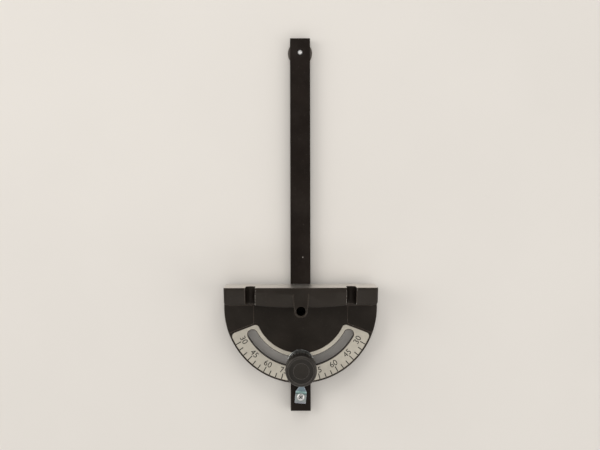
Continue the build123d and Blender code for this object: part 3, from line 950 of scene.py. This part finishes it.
def numeral_mesh(text, height, thickness):
    """A number as a thin closed mesh of that height, centred on the origin."""
    curve = bpy.data.curves.new("numeral", "FONT")
    curve.body = text
    curve.resolution_u = 6
    # One unit thick from -0.5 to 0.5, and scaled to the print's thickness below.
    curve.extrude = 0.5
    made = bpy.data.objects.new("numeral", curve)
    bpy.context.scene.collection.objects.link(made)
    bpy.context.view_layer.update()
    graph = bpy.context.evaluated_depsgraph_get()
    mesh = bpy.data.meshes.new_from_object(made.evaluated_get(graph), depsgraph=graph)
    bpy.data.objects.remove(made)
    xs = [vertex.co.x for vertex in mesh.vertices]
    ys = [vertex.co.y for vertex in mesh.vertices]
    middle = Vector(((min(xs) + max(xs)) / 2, (min(ys) + max(ys)) / 2, 0))
    size = height / (max(ys) - min(ys))
    mesh.transform(Matrix.Diagonal((size, size, thickness, 1)) @ Matrix.Translation(-middle))
    return mesh


def make_numerals():
    """The numbers beside the long lines: 90 in the middle, falling to each side."""
    printed = bpy.context.scene.gauge_print
    radius, top = scale_size()
    distance = radius - printed.numeral_from_rim
    long_step = printed.step * printed.long_every
    count = round(printed.reach / long_step)
    build = bmesh.new()
    for number in range(-count, count + 1):
        angle = number * long_step
        label = str(90 - abs(round(math.degrees(angle))))
        mesh = numeral_mesh(label, printed.numeral_height, 2 * printed.ink_thickness)
        place = Vector((distance * math.sin(angle), -distance * math.cos(angle), 0))
        moved(mesh, place + Vector((PIVOT.x, PIVOT.y, top)), angle)
        build.from_mesh(mesh)
        bpy.data.meshes.remove(mesh)
    bmesh.ops.remove_doubles(build, verts=build.verts, dist=WELD_DISTANCE)
    mesh = bpy.data.meshes.new("scale_numerals")
    build.to_mesh(mesh)
    build.free()
    made = new_object("scale_numerals", mesh, gauge_finish("scale_ink"))
    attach(made, BODY_OF["angle_scale"])
    return made


class GaugeOperator:
    """What the gauge's operators share."""
    bl_options = {"REGISTER", "UNDO"}

    def execute(self, context):
        self.make(context.scene)
        return {"FINISHED"}


class GAUGE_OT_guide_bar(GaugeOperator, bpy.types.Operator):
    """Makes the guide bar, its retaining disc and the disc's screw"""
    bl_idname = "gauge.guide_bar"
    bl_label = "Guide Bar"

    def make(self, scene):
        edge_round = scene.gauge_detail.edge_round
        refined_copy("guide_bar", gauge_finish("bar_oxide"), edge_round)
        refined_copy("retaining_disc", gauge_finish("disc_phosphate"), edge_round)
        make_disc_screw()


class GAUGE_OT_head(GaugeOperator, bpy.types.Operator):
    """Makes the cast protractor head"""
    bl_idname = "gauge.head"
    bl_label = "Protractor Head"

    def make(self, scene):
        cast_round = scene.gauge_detail.cast_round
        head = refined_copy("protractor_head", gauge_finish("head_enamel"), cast_round)
        head.data.materials.append(gauge_finish("fence_machined"))
        face_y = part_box("protractor_head")[1].y
        for polygon in head.data.polygons:
            faces_forward = polygon.normal.y > 0.99
            if faces_forward and face_y - polygon.center.y < CUT_MARGIN:
                polygon.material_index = 1


class GAUGE_OT_scale(GaugeOperator, bpy.types.Operator):
    """Makes the angle scale with its graduations and numerals"""
    bl_idname = "gauge.scale"
    bl_label = "Angle Scale"

    def make(self, scene):
        sheet_round = scene.gauge_detail.sheet_round
        refined_copy("angle_scale", gauge_finish("scale_aluminium"), sheet_round)
        make_graduations()
        make_numerals()


class GAUGE_OT_pivot(GaugeOperator, bpy.types.Operator):
    """Makes the pivot screw and its washer"""
    bl_idname = "gauge.pivot"
    bl_label = "Pivot"

    def make(self, scene):
        sheet_round = scene.gauge_detail.sheet_round
        refined_copy("pivot_screw", gauge_finish("screw_oxide"), sheet_round)
        refined_copy("pivot_washer", gauge_finish("zinc_plating"), sheet_round)


class GAUGE_OT_knob(GaugeOperator, bpy.types.Operator):
    """Makes the clamp knob with its cap, stud and washer"""
    bl_idname = "gauge.knob"
    bl_label = "Clamp Knob"

    def make(self, scene):
        detail = scene.gauge_detail
        refined_copy("clamp_knob", gauge_finish("knob_moulding"), detail.edge_round)
        refined_copy("knob_cap", gauge_finish("cap_moulding"), detail.edge_round)
        refined_copy("knob_washer", gauge_finish("zinc_plating"), detail.sheet_round)
        make_stud()


class GAUGE_OT_pointer(GaugeOperator, bpy.types.Operator):
    """Makes the pointer and its screw"""
    bl_idname = "gauge.pointer"
    bl_label = "Pointer"

    def make(self, scene):
        sheet_round = scene.gauge_detail.sheet_round
        refined_copy("pointer", gauge_finish("pointer_plating"), sheet_round)
        make_pointer_screw()


def look_at(place, target, up=Vector((0, 1, 0))):
    """Where a camera or lamp stands, turned towards a point."""
    back = (place - target).normalized()
    right = up.cross(back).normalized()
    turned = Matrix((right, back.cross(right), back)).transposed().to_4x4()
    return Matrix.Translation(place) @ turned


def make_floor():
    """The plain table top, a hair under the bar."""
    build = bmesh.new()
    bmesh.ops.create_grid(build, x_segments=1, y_segments=1, size=3.0)
    mesh = bpy.data.meshes.new("floor")
    build.to_mesh(mesh)
    build.free()
    mesh.transform(Matrix.Translation((0, 0, CAD_BOX[0][2] - CUT_MARGIN)))
    new_object("floor", mesh, gauge_finish("floor_card"))


def make_room(stage):
    """The room's soft light: dim above the gauge and bright round its sides."""
    world = bpy.data.worlds.new("room")
    bpy.context.scene.world = world
    world.use_nodes = True
    nodes = Nodes(world.node_tree)
    direction = nodes.add("ShaderNodeTexCoord").outputs["Generated"]
    overhead = nodes.ramp(nodes.axis(direction, "Z"), low=0.35, high=0.95)
    shade = nodes.mix(overhead, grey(stage.sky_horizon), grey(stage.sky_zenith))
    background = world.node_tree.nodes["Background"]
    nodes.link(shade, background.inputs["Color"])


# Each lamp's name, place and size, and a side lamp's share of the lamp power.
LAMP_TARGET = Vector((0, -0.05, 0))
SIDE_LAMPS = (
    ("lamp_left", (-1.1, 0.3, 0.9), (0.9, 0.9), 1.7),
    ("lamp_right", (1.1, -0.3, 0.9), (0.9, 0.9), 1.1),
    ("lamp_far", (0.1, 1.2, 0.9), (1.2, 0.6), 1.7),
    ("lamp_near", (0.1, -1.1, 1.3), (1.2, 0.5), 0.8),
)
TOP_LAMP = ("lamp_top", (0.0, -0.05, 1.6), (1.0, 1.0))


def make_lamp(name, place, size, power, in_reflections=True):
    """A large soft lamp, turned towards the gauge."""
    lamp = bpy.data.lights.new(name, "AREA")
    lamp.shape = "RECTANGLE"
    lamp.size, lamp.size_y = size
    lamp.energy = power
    made = bpy.data.objects.new(name, lamp)
    made.matrix_world = look_at(Vector(place), LAMP_TARGET)
    made.visible_glossy = in_reflections
    bpy.context.scene.collection.objects.link(made)


# Where the camera stands in plan, and the point it looks at.
CAMERA_PLAN = (-0.0066, 0.0125)
CAMERA_TARGET = Vector((-0.00028, 0.0001, 0))


def make_camera(stage):
    """The camera, straight above the gauge and a touch to one side, as photographed."""
    camera = bpy.data.cameras.new("camera")
    camera.sensor_width = 36.0
    camera.sensor_fit = "HORIZONTAL"
    camera.lens = stage.lens
    camera.clip_start = 0.01
    camera.clip_end = 20.0
    made = bpy.data.objects.new("camera", camera)
    place = Vector((*CAMERA_PLAN, stage.camera_height))
    roll = stage.camera_roll
    up = Vector((math.sin(roll), math.cos(roll), 0))
    made.matrix_world = look_at(place, CAMERA_TARGET, up)
    bpy.context.scene.collection.objects.link(made)
    bpy.context.scene.camera = made


class GAUGE_OT_stage(GaugeOperator, bpy.types.Operator):
    """Makes the floor, the soft lamps, the room light and the camera"""
    bl_idname = "gauge.stage"
    bl_label = "Stage"

    def make(self, scene):
        stage = scene.gauge_stage
        make_floor()
        make_room(stage)
        for name, place, size, share in SIDE_LAMPS:
            make_lamp(name, place, size, share * stage.lamp_power)
        make_lamp(*TOP_LAMP, stage.top_power, in_reflections=False)
        make_camera(stage)
        scene.view_settings.view_transform = "Standard"


PIECES = (
    GAUGE_OT_guide_bar, GAUGE_OT_head, GAUGE_OT_scale, GAUGE_OT_pivot, GAUGE_OT_knob,
    GAUGE_OT_pointer, GAUGE_OT_stage,
)
SETTINGS = {
    "gauge_colours": GaugeColours,
    "gauge_print": GaugePrint,
    "gauge_detail": GaugeDetail,
    "gauge_stage": GaugeStage,
}


class GAUGE_PT_panel(bpy.types.Panel):
    """Lists the gauge's pieces and its settings"""
    bl_label = "Miter Gauge"
    bl_idname = "GAUGE_PT_panel"
    bl_space_type = "VIEW_3D"
    bl_region_type = "UI"
    bl_category = "Miter Gauge"

    def draw(self, context):
        for piece in PIECES:
            self.layout.operator(piece.bl_idname)
        for name, group in SETTINGS.items():
            box = self.layout.box()
            for setting in group.__annotations__:
                box.prop(getattr(context.scene, name), setting)


def register():
    for name, group in SETTINGS.items():
        bpy.utils.register_class(group)
        setattr(bpy.types.Scene, name, bpy.props.PointerProperty(type=group))
    for piece in PIECES:
        bpy.utils.register_class(piece)
    bpy.utils.register_class(GAUGE_PT_panel)


def unregister():
    bpy.utils.unregister_class(GAUGE_PT_panel)
    for piece in reversed(PIECES):
        bpy.utils.unregister_class(piece)
    for name, group in SETTINGS.items():
        delattr(bpy.types.Scene, name)
        bpy.utils.unregister_class(group)


def main():
    register()
    bpy.ops.gauge.guide_bar()
    bpy.ops.gauge.head()
    bpy.ops.gauge.scale()
    bpy.ops.gauge.pivot()
    bpy.ops.gauge.knob()
    bpy.ops.gauge.pointer()
    bpy.ops.gauge.stage()


if __name__ == "__main__":
    main()
